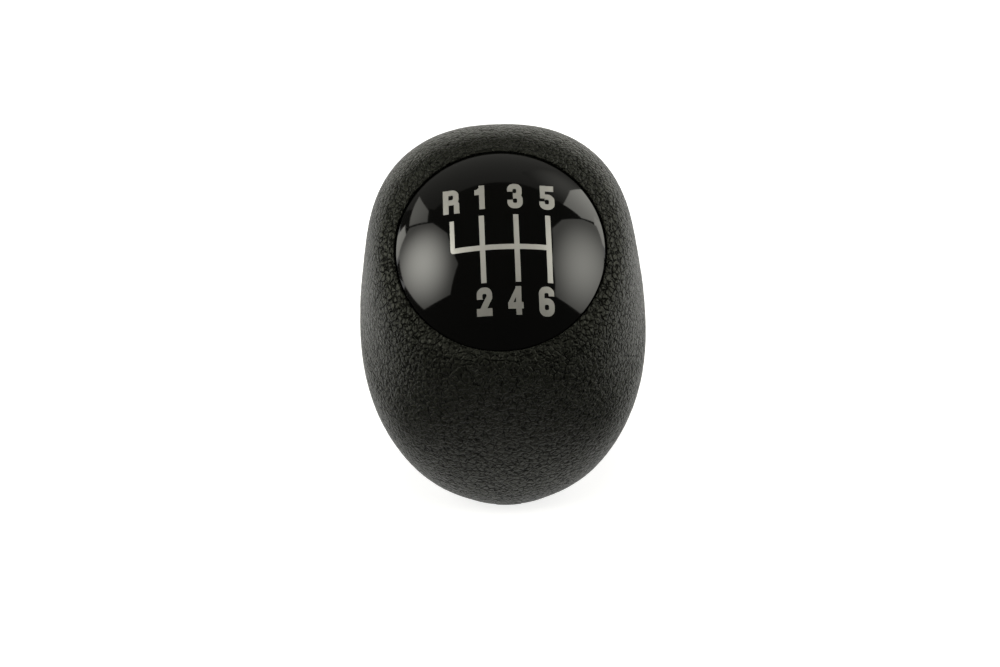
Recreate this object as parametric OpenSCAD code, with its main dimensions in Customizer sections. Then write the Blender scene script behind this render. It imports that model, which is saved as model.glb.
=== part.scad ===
// Push-on gear shift knob: soft egg-shaped grip on a hollow two-piece core, with a domed cap.
// Origin at the middle of the lever bore's mouth, +Z up along the lever, the cap faces -Y and up.

/* [Grip outline] */
// Width of the grip where its sides begin to lean in
grip_w = 56.4; // [53:0.2:62]
// Height of the grip's lower edge above the foot plane
mouth_z = 1; // [0.8:0.1:3]
// Rise of the front outline where it leaves the mouth, in degrees
front_rise = 36; // [28:1:45]
// Reach of the front outline's lower curve
front_low_reach = 15; // [10:0.5:20]
// Reach of the front outline's upper curve
front_top_reach = 4; // [2:0.5:7]
// Reach of the back outline's rearmost point behind the lever axis
back_y = 30; // [28.5:0.5:34]
// Height of the back outline's rearmost point
back_z = 43; // [38:0.5:48]
// Rise of the back outline where it leaves the mouth, in degrees
back_rise = 15; // [5:1:30]
// Reach of the back outline's curve at the mouth
back_low_reach = 4; // [2:0.5:7]
// Reach of the back outline's curve below the rearmost point
back_mid_reach = 20; // [15:0.5:24]
// Reach of the back outline's curve at the cap
back_top_reach = 10; // [7:0.5:13]
// Share of the way up the grip at which it is widest
belly_share = 0.4; // [0.35:0.01:0.5]
// Share of the way up the grip at which its sides begin to lean in
side_share = 0.5; // [0.45:0.01:0.55]
// How much the sides lean in there
side_lean = 2; // [0:0.1:3]
// Reach of the side outline where it leaves the mouth
side_low_reach = 9.5; // [7:0.1:12]
// Reach of the side outline at the cap
side_top_reach = 4.8; // [4:0.1:6]
// How much fuller than an ellipse the middle rings are
fullness = 0.5; // [0:0.02:0.6]
// Radius of the shoulder round the cap
shoulder_r = 40; // [30:1:60]
// Width of the rounded lip round the cap
rim_lip = 0.7; // [0.5:0.1:1.2]
// Width of the rounded lip at the lower mouth
mouth_lip = 0.9; // [0.7:0.1:1.4]

/* [Cap] */
// Distance of the cap's centre from the lever axis, towards the driver
cap_y = 12; // [9:0.5:14]
// Height of the cap's centre
cap_z = 56; // [53:0.5:62]
// Lean of the cap from level, in degrees
cap_tilt = 48; // [40:1:55]
// Turn of the cap and its pattern in the seat, in degrees
cap_turn = 0.5; // [-3:0.1:3]
// Radius of the cap's skirt
cap_r = 20.3; // [18:0.1:21.5]
// Radius of the cap's dome
dome_r = 26; // [23:0.5:40]
// Wall of the cap
cap_wall = 2; // [1.5:0.1:2.6]
// Rounding of the cap's edge
cap_edge_r = 0.6; // [0.3:0.05:1]
// Depth of the dome's edge below the rim of the grip
cap_sink = 0.3; // [0:0.05:0.8]
// Height of the cap's skirt
skirt_h = 3; // [2.2:0.1:4]
// Gap between the cap's skirt and the grip
cap_gap = 0.3; // [0.2:0.05:0.5]
// Thickness of the foam ring under the skirt
pad_t = 0.8; // [0.5:0.1:1.5]
// Width of a snap hook
hook_w = 4; // [3:0.5:6]
// Thickness of a snap hook
hook_t = 1.3; // [1:0.1:1.6]
// Step of a snap hook's barb
barb_step = 0.7; // [0.4:0.1:0.9]
// Height of a snap hook's barb
barb_h = 1.3; // [1:0.1:2]

/* [Shift pattern] */
// Width of the gate lines
gate_line_w = 1; // [0.8:0.02:1.2]
// Width of the reverse line
reverse_line_w = 0.84; // [0.7:0.02:1]
// Distance of the second gate line from the first
gate_pitch = 6.5; // [6:0.05:6.6]
// Distance of the third gate line from the second
last_pitch = 6.05; // [5.6:0.05:6.2]
// Distance of the reverse line from the first gate line
reverse_pitch = 5.65; // [5.2:0.05:5.9]
// Place of the first gate line across the cap
gate_x = -3.4; // [-3.6:0.05:-3.2]
// Place of the neutral line below the cap's centre
neutral_drop = 2.7; // [2.4:0.05:3]
// Length of a gate from the neutral line
gate_len = 6.5; // [6:0.05:6.7]
// Length of the reverse gate from the neutral line
reverse_len = 6.05; // [5.6:0.05:6.3]
// Radius of the reverse line's outer corner
corner_r = 0.6; // [0.45:0.05:0.8]
// Height of the marks
mark_h = 5.15; // [5:0.05:5.3]
// Width of the marks
mark_w = 2.9; // [2.7:0.05:3]
// Upright stroke of the marks
mark_stroke = 1.05; // [0.9:0.05:1.1]
// Level stroke of the marks
mark_bar = 1.15; // [1:0.05:1.2]
// Distance of the upper marks from the neutral line
upper_mark_rise = 10.6; // [10.4:0.05:10.8]
// Distance of the lower marks from the neutral line
lower_mark_drop = 9.7; // [9.6:0.05:9.9]
// Angle between the cap's axis and the direction in which the marks are laid on the dome
mark_lean = 8; // [4:1:12]
// Pitch of the lower marks
lower_mark_pitch = 5.85; // [5.6:0.05:6.1]
// Thickness of the inlaid pattern
inlay_t = 0.3; // [0.2:0.05:0.6]
// Gap between the inlay and its recess
inlay_gap = 0.04; // [0.02:0.01:0.08]

/* [Core] */
// Least cover in front of the core
cover_front = 2.7; // [2.2:0.1:4]
// Cover behind the core's crown
cover_back = 3; // [2.4:0.1:4]
// Cover above the core's crown, below the top of the cap's rim
cover_top = 3.3; // [2.8:0.1:5]
// Radius of the core's crown
crown_r = 22.5; // [20:0.5:23]
// Height at which the core is widest
core_mid_z = 38; // [35:0.5:41]
// Height of the core above its widest place, along the lever axis
core_rise = 27; // [22:0.5:30]
// Height of the core's straight neck
neck_h = 5; // [4:0.5:8]
// Wall of the core
core_wall = 2.4; // [2:0.1:3]
// Height of the joint between the core's halves
split_z = 29; // [26:0.5:31]
// Width of the tongue on the upper half
tongue_w = 0.9; // [0.7:0.1:1.1]
// Height of the tongue
tongue_h = 1.6; // [1:0.1:2.5]
// Clearance round the tongue
tongue_gap = 0.08; // [0.05:0.01:0.15]
// Number of ribs between the socket and the bowl
rib_count = 8; // [4:1:10]
// Thickness of a rib
rib_t = 1.8; // [1.2:0.1:2.4]
// Distance of the ribs' tops below the joint
rib_drop = 3; // [2:0.5:8]
// Thickness of the plate that the cap sits on
seat_t = 2; // [1.6:0.1:3]
// Depth of the cup that holds the seat plate
cup_h = 5; // [4:0.5:7]
// Radius of the opening in the seat plate
seat_hole_r = 12; // [8:0.5:14]
// Clearance between the cover and the core
bond_gap = 0.05; // [0.02:0.01:0.1]

/* [Lever fitting] */
// Radius of the lever bore
bore_r = 6; // [5:0.25:6.5]
// Depth of the lever bore
bore_h = 36; // [32:1:38]
// Wall of the lever sleeve
sleeve_wall = 2; // [1.8:0.1:2.4]
// Clearance round the sleeve in its socket
sleeve_gap = 0.05; // [0.02:0.01:0.1]
// Wall of the socket
socket_wall = 2.3; // [2:0.1:2.8]
// Wall of the neck ring and of the core's neck
neck_wall = 2.8; // [2.4:0.1:3.2]
// Height of the neck ring above the foot plane
neck_ring_h = 2.6; // [2:0.1:3.4]
// Depth of the neck ring's lower chamfer
neck_chamfer = 1.2; // [0.8:0.1:1.6]
// Reach of the neck ring's front lug from the lever axis
lug_reach = 10.2; // [9.9:0.05:10.6]
// Width of the front lug
lug_w = 5; // [3:0.5:7]
// Height of the front lug
lug_h = 0.6; // [0.4:0.1:0.8]
// Thickness of the rubber buffer
buffer_t = 2; // [1:0.1:3]
// Diameter of the clip's wire
wire_d = 1.2; // [1:0.1:1.4]
// Height of the clip on the lever sleeve
clip_z = 25; // [18:1:28]
// Clearance between the clip and the lever bore
clip_gap = 0.1; // [0.05:0.05:0.2]
// Length of the clip's legs on the open side
leg_len = 4.2; // [3:0.1:4.6]
// Number of grooves in a band of the sleeve
groove_count = 16; // [8:1:24]

/* [Hidden] */
$fn = 96;

// Radii of the lever fitting, from the bore outwards
sleeve_r = bore_r + sleeve_wall;
socket_r = sleeve_r + sleeve_gap;
socket_out_r = socket_r + socket_wall;
neck_r = socket_r + neck_wall;
mouth_in_r = neck_r + bond_gap;
mouth_r = mouth_in_r + mouth_lip;

// Radii of the cap's seat
recess_r = cap_r + cap_gap;
rim_r = recess_r + rim_lip;
cup_r = recess_r - bond_gap;

// Heights in the cap's own frame, whose zero is the rim of the grip
skirt_low = -cap_sink - skirt_h;
seat_top = skirt_low - pad_t;
seat_low = seat_top - seat_t;
cup_low = seat_top - cup_h;

// Cap and shoulder in the side view, as [y, z]
cap_normal = [-sin(cap_tilt), cos(cap_tilt)];
cap_up = [cos(cap_tilt), sin(cap_tilt)];
cap_mid = [-cap_y, cap_z];
rim_front = cap_mid - rim_r * cap_up;
rim_back = cap_mid + rim_r * cap_up;
shoulder_angle = asin(rim_r / shoulder_r);
shoulder_front = cap_up * cos(shoulder_angle) + cap_normal * sin(shoulder_angle);
shoulder_back = cap_normal * sin(shoulder_angle) - cap_up * cos(shoulder_angle);

// Number of rings and of points a ring in the grip's skin
ring_steps = 46;
ring_points = 80;

// Core outline
core_r = min(-rim_front[0], grip_w / 2) - cover_front;
core_fall = (core_mid_z - neck_h) / sqrt(1 - pow(neck_r / core_r, 2));
crown_y = back_y - cover_back - crown_r;
crown_z = rim_back[1] - cover_top - crown_r;
socket_top = bore_h + buffer_t + 2 * clip_gap;

// Cap hooks, from the cap's axis
hook_count = 4;
hook_offset = 0.3;
hook_out_r = cap_r - cap_wall + hook_offset;
hook_in_r = hook_out_r - hook_t;
hook_clear = 0.2;
barb_gap = 0.1;
barb_top = seat_low - barb_gap;
pad_in_r = hook_out_r + hook_clear;

// Clearance round the loose pad and buffer
loose_gap = 0.1;

// Radius and length of the sleeve's grooves
groove_r = 0.5;
groove_len = 4;

// Clearance that keeps cuts from ending on a face
over = 1;

// Point on a cubic curve with four control points
function curve(p, t) = pow(1 - t, 3) * p[0] + 3 * pow(1 - t, 2) * t * p[1]
    + 3 * (1 - t) * t * t * p[2] + pow(t, 3) * p[3];

// Front outline of the grip in the side view, share s of the way up
function front_rail(s) = curve([
    [-mouth_r, mouth_z],
    [-mouth_r, mouth_z] + front_low_reach * [-cos(front_rise), sin(front_rise)],
    rim_front - front_top_reach * shoulder_front,
    rim_front], s);

// Back outline of the grip in the side view, below and above its rearmost point
function back_low(t) = curve([
    [mouth_r, mouth_z],
    [mouth_r, mouth_z] + back_low_reach * [cos(back_rise), sin(back_rise)],
    [back_y, back_z - back_mid_reach],
    [back_y, back_z]], t);
function back_high(t) = curve([
    [back_y, back_z],
    [back_y, back_z + back_mid_reach * (1 - belly_share) / belly_share],
    rim_back - back_top_reach * shoulder_back,
    rim_back], t);
function back_rail(s) = s < belly_share
    ? back_low(s / belly_share)
    : back_high((s - belly_share) / (1 - belly_share));

// Half width of the grip, below and above the place where its sides begin to lean in
function side_low(t) = curve([
    mouth_r,
    mouth_r + side_low_reach,
    grip_w / 2 + side_lean,
    grip_w / 2], t);
function side_high(t) = curve([
    grip_w / 2,
    grip_w / 2 - side_lean * (1 - side_share) / side_share,
    rim_r + side_top_reach,
    rim_r], t);
function half_width(s) = s < side_share
    ? side_low(s / side_share)
    : side_high((s - side_share) / (1 - side_share));

// Signed power, for the rings between an ellipse and a rounded square
function signed_power(v, p) = sign(v) * pow(abs(v), p);

// One ring of the skin between the front and the back outline
function skin_ring(s) =
    let (front = front_rail(s), back = back_rail(s), w = half_width(s))
    let (middle = (front + back) / 2, half = (back - front) / 2)
    let (p = 2 / (2 + fullness * sin(180 * s)))
    [for (i = [0:ring_points - 1])
        let (a = 360 * i / ring_points)
        let (side = middle + half * signed_power(sin(a), p))
        [w * signed_power(cos(a), p), side[0], side[1]]];

// Round ring at a radius and height, about the lever axis
function mouth_ring(r, z) = [for (i = [0:ring_points - 1])
    let (a = 360 * i / ring_points)
    [r * cos(a), r * sin(a), z]];

// Round ring at a radius and height in the cap's own frame
function rim_ring(r, h) = [for (i = [0:ring_points - 1])
    let (a = 360 * i / ring_points)
    let (side = cap_mid + r * sin(a) * cap_up + h * cap_normal)
    [r * cos(a), side[0], side[1]]];

// Rings of the rounded lips, which end in a flat face that the holes are cut through
mouth_lip_rings = [
    mouth_ring(mouth_in_r + 0.15 * mouth_lip, mouth_z - 0.2 * mouth_lip),
    mouth_ring(mouth_in_r + 0.55 * mouth_lip, mouth_z - 0.3 * mouth_lip)];
rim_lip_rings = [
    rim_ring(recess_r + 0.5 * rim_lip, 0.15 * rim_lip),
    rim_ring(recess_r + 0.15 * rim_lip, 0)];

// Solid skin of the grip, closed flat at the mouth and at the cap's rim
module skin_body() {
    rings = concat(mouth_lip_rings,
        [for (k = [0:ring_steps]) skin_ring(k / ring_steps)], rim_lip_rings);
    last = len(rings) - 1;
    walls = [for (k = [0:last - 1], i = [0:ring_points - 1])
        let (j = (i + 1) % ring_points)
        let (a = k * ring_points + i, b = k * ring_points + j)
        each [[a, a + ring_points, b + ring_points], [a, b + ring_points, b]]];
    low_face = [for (i = [0:ring_points - 1]) i];
    high_face = [for (i = [0:ring_points - 1]) last * ring_points + ring_points - 1 - i];
    polyhedron(
        points = [for (ring = rings) each ring],
        faces = concat(walls, [low_face, high_face]),
        convexity = 6);
}

// Moves to the cap's own frame: +Z out of the cap, +Y up along it
module at_cap() {
    translate([0, cap_mid[0], cap_mid[1]])
        rotate([cap_tilt, 0, 0]) children();
}

// Space below a height of the cap's own frame
module below_cap(h) {
    at_cap() translate([0, 0, h - 100])
        cylinder(h = 100, r = 100);
}

// Turned part of the core, about the lever axis
module core_turning(inset) {
    rotate_extrude() {
        intersection() {
            core_outline(inset);
            translate([0, neck_h + inset])
                square([core_r, 2 * cap_z]);
        }
    }
}

// Half outline of the turned part: ellipses below and above its widest place
module core_outline(inset) {
    steps = 32;
    polygon(concat(
        [[0, core_mid_z - core_fall + inset]],
        [for (k = [1:steps])
            let (a = 90 * k / steps)
            [(core_r - inset) * sin(a), core_mid_z - (core_fall - inset) * cos(a)]],
        [for (k = [1:steps])
            let (a = 90 * k / steps)
            [(core_r - inset) * cos(a), core_mid_z + (core_rise - inset) * sin(a)]]));
}

// Outer form of the core, made smaller all over by an inset
module core_form(inset) {
    intersection() {
        union() {
            core_turning(inset);
            translate([0, crown_y, crown_z])
                sphere(r = crown_r - inset);
            at_cap() translate([0, 0, cup_low])
                cylinder(h = cup_h, r = cup_r - inset);
        }
        below_cap(seat_top - inset * seat_t / core_wall);
    }
}

// Neck of the core below its bowl
module core_neck(r) {
    translate([0, 0, neck_ring_h])
        cylinder(h = neck_h + core_wall + over - neck_ring_h, r = r);
}

module grip_cover() {
    color([0.14, 0.14, 0.13]) difference() {
        skin_body();
        core_form(-bond_gap);
        translate([0, 0, -over])
            cylinder(h = neck_h + core_wall + 2 * over, r = mouth_in_r);
        at_cap() translate([0, 0, seat_top - over])
            cylinder(h = 20, r = recess_r);
    }
}

// Ring that the tongue or its groove follows, grown by a clearance
module tongue(gap) {
    mid_r = core_r - core_wall / 2 - tongue_inset;
    translate([0, 0, split_z - tongue_h - gap]) difference() {
        cylinder(h = tongue_h + gap + over * (gap > 0 ? 1 : 0), r = mid_r + tongue_w / 2 + gap);
        translate([0, 0, -over])
            cylinder(h = tongue_h + 4 * over, r = mid_r - tongue_w / 2 - gap);
    }
}

// The core is narrower at the joint than at its widest place
tongue_inset = core_r * (1 - sqrt(1 - pow((core_mid_z - split_z) / core_fall, 2)));

// Groove for the clip's bend in the socket's wall, and room for its legs
module clip_room(gap) {
    translate([0, 0, clip_z - wire_d / 2 - gap])
        linear_extrude(wire_d + 2 * gap) {
            clip_plan(wire_d + 2 * gap, gap);
        }
}

// Middle line radius of the clip's legs and bend
clip_r = bore_r + clip_gap + wire_d / 2;
// Distance of the bend's centre behind the lever axis
clip_bend_y = sleeve_r + wire_d / 2 + clip_gap - clip_r;

// Plan of the clip: two legs and a half-round bend behind the sleeve
module clip_plan(w, gap) {
    for (side = [-1, 1])
        translate([side * clip_r - w / 2, -leg_len - gap])
            square([w, leg_len + gap + clip_bend_y]);
    translate([0, clip_bend_y]) intersection() {
        difference() {
            circle(r = clip_r + w / 2);
            circle(r = clip_r - w / 2);
        }
        translate([-clip_r - w, 0])
            square([2 * clip_r + 2 * w, clip_r + w]);
    }
}

module core_lower() {
    color([0.2, 0.2, 0.21]) difference() {
        union() {
            difference() {
                intersection() {
                    union() {
                        core_form(0);
                        core_neck(neck_r);
                    }
                    cylinder(h = split_z, r = 2 * core_r);
                }
                core_form(core_wall);
            }
            translate([0, 0, neck_ring_h])
                cylinder(h = socket_top + core_wall - neck_ring_h, r = socket_out_r);
            core_ribs();
        }
        translate([0, 0, -over])
            cylinder(h = socket_top + over, r = socket_r);
        tongue(tongue_gap);
        clip_room(2 * clip_gap);
    }
}

// Upright ribs between the socket and the bowl
module core_ribs() {
    intersection() {
        core_form(core_wall / 2);
        translate([0, 0, neck_h])
            cylinder(h = split_z - rib_drop - neck_h, r = core_r);
        for (k = [0:rib_count - 1])
            rotate([0, 0, 360 * k / rib_count])
                translate([0, -rib_t / 2, 0])
                    cube([core_r, rib_t, split_z]);
    }
}

// One window in the seat plate, with the space below it for a hook's barb
module hook_window() {
    translate([hook_in_r - 2 * hook_clear, -hook_w / 2 - 2 * hook_clear, barb_top - barb_h - 2 * hook_clear])
        cube([hook_t + barb_step + 3 * hook_clear, hook_w + 4 * hook_clear,
            seat_top - barb_top + barb_h + 4 * hook_clear]);
}

module core_upper() {
    color([0.2, 0.2, 0.21]) {
        difference() {
            core_form(0);
            core_form(core_wall);
            translate([0, 0, -over])
                cylinder(h = split_z + over, r = 2 * core_r);
            at_cap() {
                translate([0, 0, cup_low])
                    cylinder(h = 2 * cup_h, r = seat_hole_r);
                at_hooks() hook_window();
            }
        }
        tongue(0);
    }
}

// Places a hook or its window at each quarter of the cap
module at_hooks() {
    for (k = [0:hook_count - 1])
        rotate([0, 0, cap_turn + 360 * (k + 0.5) / hook_count]) children();
}

module lever_sleeve() {
    color([0.62, 0.63, 0.65]) difference() {
        cylinder(h = bore_h, r = sleeve_r);
        translate([0, 0, -over])
            cylinder(h = bore_h + 2 * over, r = bore_r);
        clip_windows();
        for (band_z = [0.3 * bore_h, 0.85 * bore_h])
            sleeve_grooves(band_z);
    }
}

// Turned groove for the clip's bend, and slots through the sleeve's sides for its legs
module clip_windows() {
    slot_h = wire_d + 2 * clip_gap;
    translate([0, 0, clip_z - slot_h / 2]) {
        difference() {
            cylinder(h = slot_h, r = sleeve_r + over);
            translate([-slot_x, -2 * sleeve_r, -over])
                cube([2 * slot_x, 4 * sleeve_r, slot_h + 2 * over]);
        }
        difference() {
            cylinder(h = slot_h, r = sleeve_r + over);
            translate([0, 0, -over])
                cylinder(h = slot_h + 2 * over, r = bore_r + sleeve_wall / 2);
        }
    }
}

// Distance of the slots' flat sides from the lever axis
slot_x = 0.9 * bore_r;

// Band of upright grooves that keys the sleeve in its socket
module sleeve_grooves(z) {
    for (k = [0:groove_count - 1])
        rotate([0, 0, 360 * (k + 0.5) / groove_count])
            translate([sleeve_r, 0, z - groove_len / 2])
                cylinder(h = groove_len, r = groove_r, $fn = 24);
}

module retaining_clip() {
    color([0.7, 0.71, 0.73]) translate([0, 0, clip_z]) {
        for (side = [-1, 1])
            translate([side * clip_r, -leg_len, 0]) rotate([-90, 0, 0])
                cylinder(h = leg_len + clip_bend_y, r = wire_d / 2, $fn = 32);
        translate([0, clip_bend_y, 0]) rotate_extrude(angle = 180)
            translate([clip_r, 0]) circle(r = wire_d / 2, $fn = 32);
    }
}

module lever_buffer() {
    color([0.1, 0.1, 0.1]) translate([0, 0, bore_h + clip_gap])
        cylinder(h = buffer_t, r = sleeve_r - loose_gap);
}

module neck_ring() {
    color([0.16, 0.16, 0.16]) difference() {
        union() {
            rotate_extrude() polygon([
                [socket_r, 0],
                [neck_r - neck_chamfer, 0],
                [neck_r, neck_chamfer],
                [neck_r, neck_ring_h - bond_gap],
                [socket_r, neck_ring_h - bond_gap]]);
            intersection() {
                translate([-lug_w / 2, -lug_reach, 0])
                    cube([lug_w, lug_reach, lug_h]);
                cylinder(h = lug_h, r = lug_reach);
            }
        }
        translate([0, 0, -over])
            cylinder(h = neck_ring_h + 2 * over, r = socket_r);
    }
}

// Depth of the dome's centre below the rim of the grip, and of its edge rounding's centre
dome_low = cap_sink + sqrt(pow(dome_r, 2) - pow(cap_r, 2));
edge_z = sqrt(pow(dome_r - cap_edge_r, 2) - pow(cap_r - cap_edge_r, 2)) - dome_low;

// Half section of the cap's outside, with its rounded edge
module cap_outside() {
    edge_x = (cap_r - cap_edge_r) * dome_r / (dome_r - cap_edge_r);
    intersection() {
        translate([0, -dome_low])
            circle(r = dome_r, $fn = 180);
        translate([0, skirt_low])
            square([edge_x, 2 * dome_r]);
    }
    translate([0, skirt_low])
        square([cap_r, edge_z - skirt_low]);
    translate([cap_r - cap_edge_r, edge_z])
        circle(r = cap_edge_r, $fn = 48);
}

// Half section of the cap's inside
module cap_inside() {
    intersection() {
        translate([0, -dome_low])
            circle(r = dome_r - cap_wall, $fn = 180);
        translate([0, skirt_low - over])
            square([cap_r - cap_wall, 2 * dome_r]);
    }
}

module cap_dome() {
    color([0.03, 0.03, 0.035]) at_cap() {
        difference() {
            rotate_extrude() difference() {
                cap_outside();
                cap_inside();
            }
            rotate([0, 0, cap_turn]) pattern_inlay(inlay_gap);
        }
        at_hooks() snap_hook();
    }
}

// Sprung arm with a barb that catches below the seat plate
module snap_hook() {
    arm_low = barb_top - barb_h;
    translate([hook_in_r, -hook_w / 2, arm_low])
        cube([hook_t, hook_w, skirt_low + skirt_h / 2 - arm_low]);
    translate([hook_out_r, hook_w / 2, barb_top]) rotate([90, 0, 0])
        linear_extrude(hook_w) polygon([
            [-hook_t / 2, 0],
            [barb_step, 0],
            [barb_step, -0.3 * barb_h],
            [0, -barb_h],
            [-hook_t / 2, -barb_h]]);
}

module cap_pad() {
    color([0.25, 0.25, 0.25]) at_cap() translate([0, 0, seat_top])
        difference() {
            cylinder(h = pad_t, r = cap_r - loose_gap);
            translate([0, 0, -over])
                cylinder(h = pad_t + 2 * over, r = pad_in_r);
        }
}

// Thin layer at the outside of the dome, as deep as the inlay
module inlay_layer(gap) {
    translate([0, 0, -dome_low]) difference() {
        sphere(r = dome_r + (gap > 0 ? over : 0), $fn = 180);
        sphere(r = dome_r - inlay_t - gap, $fn = 180);
    }
}

// The whole pattern in the dome's outer layer, grown by a clearance
module pattern_inlay(gap) {
    intersection() {
        inlay_layer(gap);
        union() {
            translate([0, 0, dome_r / 2 - dome_low])
                linear_extrude(dome_r) gate_lines(gap);
            upper_marks(gap);
            lower_marks(gap);
        }
    }
}

module shift_pattern() {
    color([0.78, 0.77, 0.74]) at_cap()
        rotate([0, 0, cap_turn]) pattern_inlay(0);
}

// Rectangle from its lower left to its upper right corner, grown by a clearance
module block(x0, y0, x1, y1, gap) {
    translate([x0 - gap, y0 - gap])
        square([x1 - x0 + 2 * gap, y1 - y0 + 2 * gap]);
}

// Places of the gate lines across the cap
gate_places = [gate_x, gate_x + gate_pitch, gate_x + gate_pitch + last_pitch];
reverse_x = gate_x - reverse_pitch;

// Gate lines in plan: neutral line, reverse gate and three crossing gates
module gate_lines(gap) {
    half = gate_line_w / 2;
    left = reverse_x - reverse_line_w / 2;
    difference() {
        union() {
            block(left, -neutral_drop - half, gate_places[2], -neutral_drop + half, gap);
            block(left, -neutral_drop, left + reverse_line_w, reverse_len - neutral_drop, gap);
        }
        outer_corner(left - gap, -neutral_drop - half - gap, corner_r + gap);
    }
    for (x = gate_places)
        block(x - half, -neutral_drop - gate_len, x + half, gate_len - neutral_drop, gap);
}

// What a rounded lower left corner leaves free
module outer_corner(x, y, r) {
    difference() {
        translate([x - over, y - over])
            square(over + r);
        translate([x + r, y + r])
            circle(r = r, $fn = 48);
    }
}

// Puts a mark on the dome over a point of the plan, with its upright strokes along the gate lines
module on_dome(x, y) {
    height = sqrt(pow(dome_r, 2) - x * x - y * y);
    translate([0, 0, -dome_low]) rotate([mark_lean, 0, 0])
        translate([x, y * cos(mark_lean) + height * sin(mark_lean), dome_r / 2])
            linear_extrude(dome_r) children();
}

module upper_marks(gap) {
    y = upper_mark_rise - neutral_drop;
    on_dome(reverse_x, y - gate_len / 2 + reverse_len / 2) mark_r(gap);
    on_dome(gate_places[0], y) mark_1(gap);
    on_dome(gate_places[1], y) mark_3(gap);
    on_dome(gate_places[2], y) mark_5(gap);
}

module lower_marks(gap) {
    y = -lower_mark_drop - neutral_drop;
    on_dome(gate_x, y) mark_2(gap);
    on_dome(gate_x + lower_mark_pitch, y) mark_4(gap);
    on_dome(gate_x + 2 * lower_mark_pitch, y) mark_6(gap);
}

// Half height and half width of a mark, the radius of its bowls' corners and of their counters' corners
mark_top = mark_h / 2;
mark_side = mark_w / 2;
bowl_r = mark_side - 0.15;
counter_r = 0.7 * (mark_side - mark_stroke);
waist = mark_bar / 2;

// Rectangle with rounded corners
module rounded(x0, y0, x1, y1, r) {
    translate([x0 + r, y0])
        square([x1 - x0 - 2 * r, y1 - y0]);
    translate([x0, y0 + r])
        square([x1 - x0, y1 - y0 - 2 * r]);
    for (x = [x0 + r, x1 - r], y = [y0 + r, y1 - r])
        translate([x, y])
            circle(r = r, $fn = 48);
}

// Closed bowl of a mark with its counter, grown by a clearance
module bowl(x0, y0, x1, y1, gap) {
    difference() {
        rounded(x0 - gap, y0 - gap, x1 + gap, y1 + gap, bowl_r + gap);
        rounded(x0 + mark_stroke + gap, y0 + mark_bar + gap, x1 - mark_stroke - gap,
            y1 - mark_bar - gap, counter_r - gap);
    }
}

// Slanting stroke between two points
module slant(a, b, w, gap) {
    run = b - a;
    translate(a) rotate(atan2(run[1], run[0]))
        translate([-gap, -w / 2 - gap])
            square([norm(run) + 2 * gap, w + 2 * gap]);
}

module mark_r(gap) {
    low = -0.28 * mark_top;
    left = -mark_side - 0.1;
    right = mark_side + 0.1;
    block(left, -mark_top, left + mark_stroke, mark_top, gap);
    difference() {
        union() {
            bowl(left, low, mark_side, mark_top, gap);
            block(left, mark_top - mark_bar, 0, mark_top, gap);
            block(left, low, 0, low + mark_bar, gap);
        }
        block(left + mark_stroke, low + mark_bar, 0, mark_top - mark_bar, -gap);
    }
    difference() {
        block(right - mark_stroke, -mark_top, right, low + 0.6 * mark_bar, gap);
        translate([right + 0.18, low + 0.6 * mark_bar])
            circle(r = 0.4 - gap, $fn = 32);
    }
}

module mark_1(gap) {
    flag_low = 0.2 * mark_top;
    flag_left = -0.8 * mark_side;
    stem_left = -0.3;
    block(stem_left, -mark_top, stem_left + mark_stroke, mark_top, gap);
    difference() {
        block(flag_left, flag_low, 0, mark_top, gap);
        translate([flag_left, mark_top])
            circle(r = 0.95 - gap, $fn = 48);
    }
}

module mark_2(gap) {
    arm_low = 0.16 * mark_top;
    difference() {
        bowl(-mark_side, -0.3 * mark_top, mark_side, mark_top, gap);
        block(-2 * mark_side, -mark_top, 0, arm_low, -gap);
        block(0, -mark_top, 2 * mark_side, 0.25 * mark_top, -gap);
    }
    intersection() {
        slant([mark_side - 0.3, 0.45 * mark_top], [-mark_side + 0.45, -mark_top], mark_stroke + 0.1, gap);
        block(-mark_side - 0.1, -mark_top, mark_side, 0.45 * mark_top, gap);
    }
    block(-mark_side - 0.1, -mark_top, mark_side - 0.05, -mark_top + 1.2 * mark_bar, gap);
}

module mark_3(gap) {
    difference() {
        union() {
            bowl(-mark_side, -waist, mark_side - 0.1, mark_top + 0.1, gap);
            bowl(-mark_side, -mark_top - 0.1, mark_side, waist, gap);
        }
        block(-2 * mark_side, -0.32 * mark_top, -mark_side + mark_stroke + 0.05, 0.36 * mark_top, -gap);
    }
}

module mark_4(gap) {
    bar_low = -0.57 * mark_top;
    stem_left = 0.05;
    block(stem_left, -mark_top, stem_left + mark_stroke, mark_top, gap);
    block(-mark_side, bar_low, mark_side, bar_low + mark_bar, gap);
    intersection() {
        slant([-mark_side + 0.1, -0.44 * mark_top], [0.8, mark_top + 0.25], mark_stroke - 0.25, gap);
        block(-mark_side, bar_low, 0.5, mark_top, gap);
    }
}

module mark_5(gap) {
    bowl_top = 0.25 * mark_top;
    block(-mark_side + 0.3, mark_top - 1.1 * mark_bar, mark_side - 0.1, mark_top, gap);
    block(-mark_side + 0.2, -0.1 * mark_top, -mark_side + 1.1 * mark_stroke, mark_top, gap);
    difference() {
        bowl(-mark_side, -mark_top - 0.1, mark_side, bowl_top, gap);
        block(-2 * mark_side, -0.36 * mark_top, -0.4, -0.1 * mark_top, -gap);
        block(-2 * mark_side, -0.2 * mark_top, -mark_side + 0.2, mark_top, -gap);
    }
}

module mark_6(gap) {
    bowl_top = 0.22 * mark_top;
    difference() {
        bowl(-mark_side, -mark_top - 0.1, mark_side, mark_top + 0.1, gap);
        block(0, -0.5 * mark_top, 2 * mark_side, 0.36 * mark_top, -gap);
    }
    bowl(-mark_side, -mark_top - 0.1, mark_side, bowl_top, gap);
}

grip_cover();
core_lower();
core_upper();
lever_sleeve();
retaining_clip();
lever_buffer();
neck_ring();
cap_dome();
shift_pattern();
cap_pad();
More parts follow.
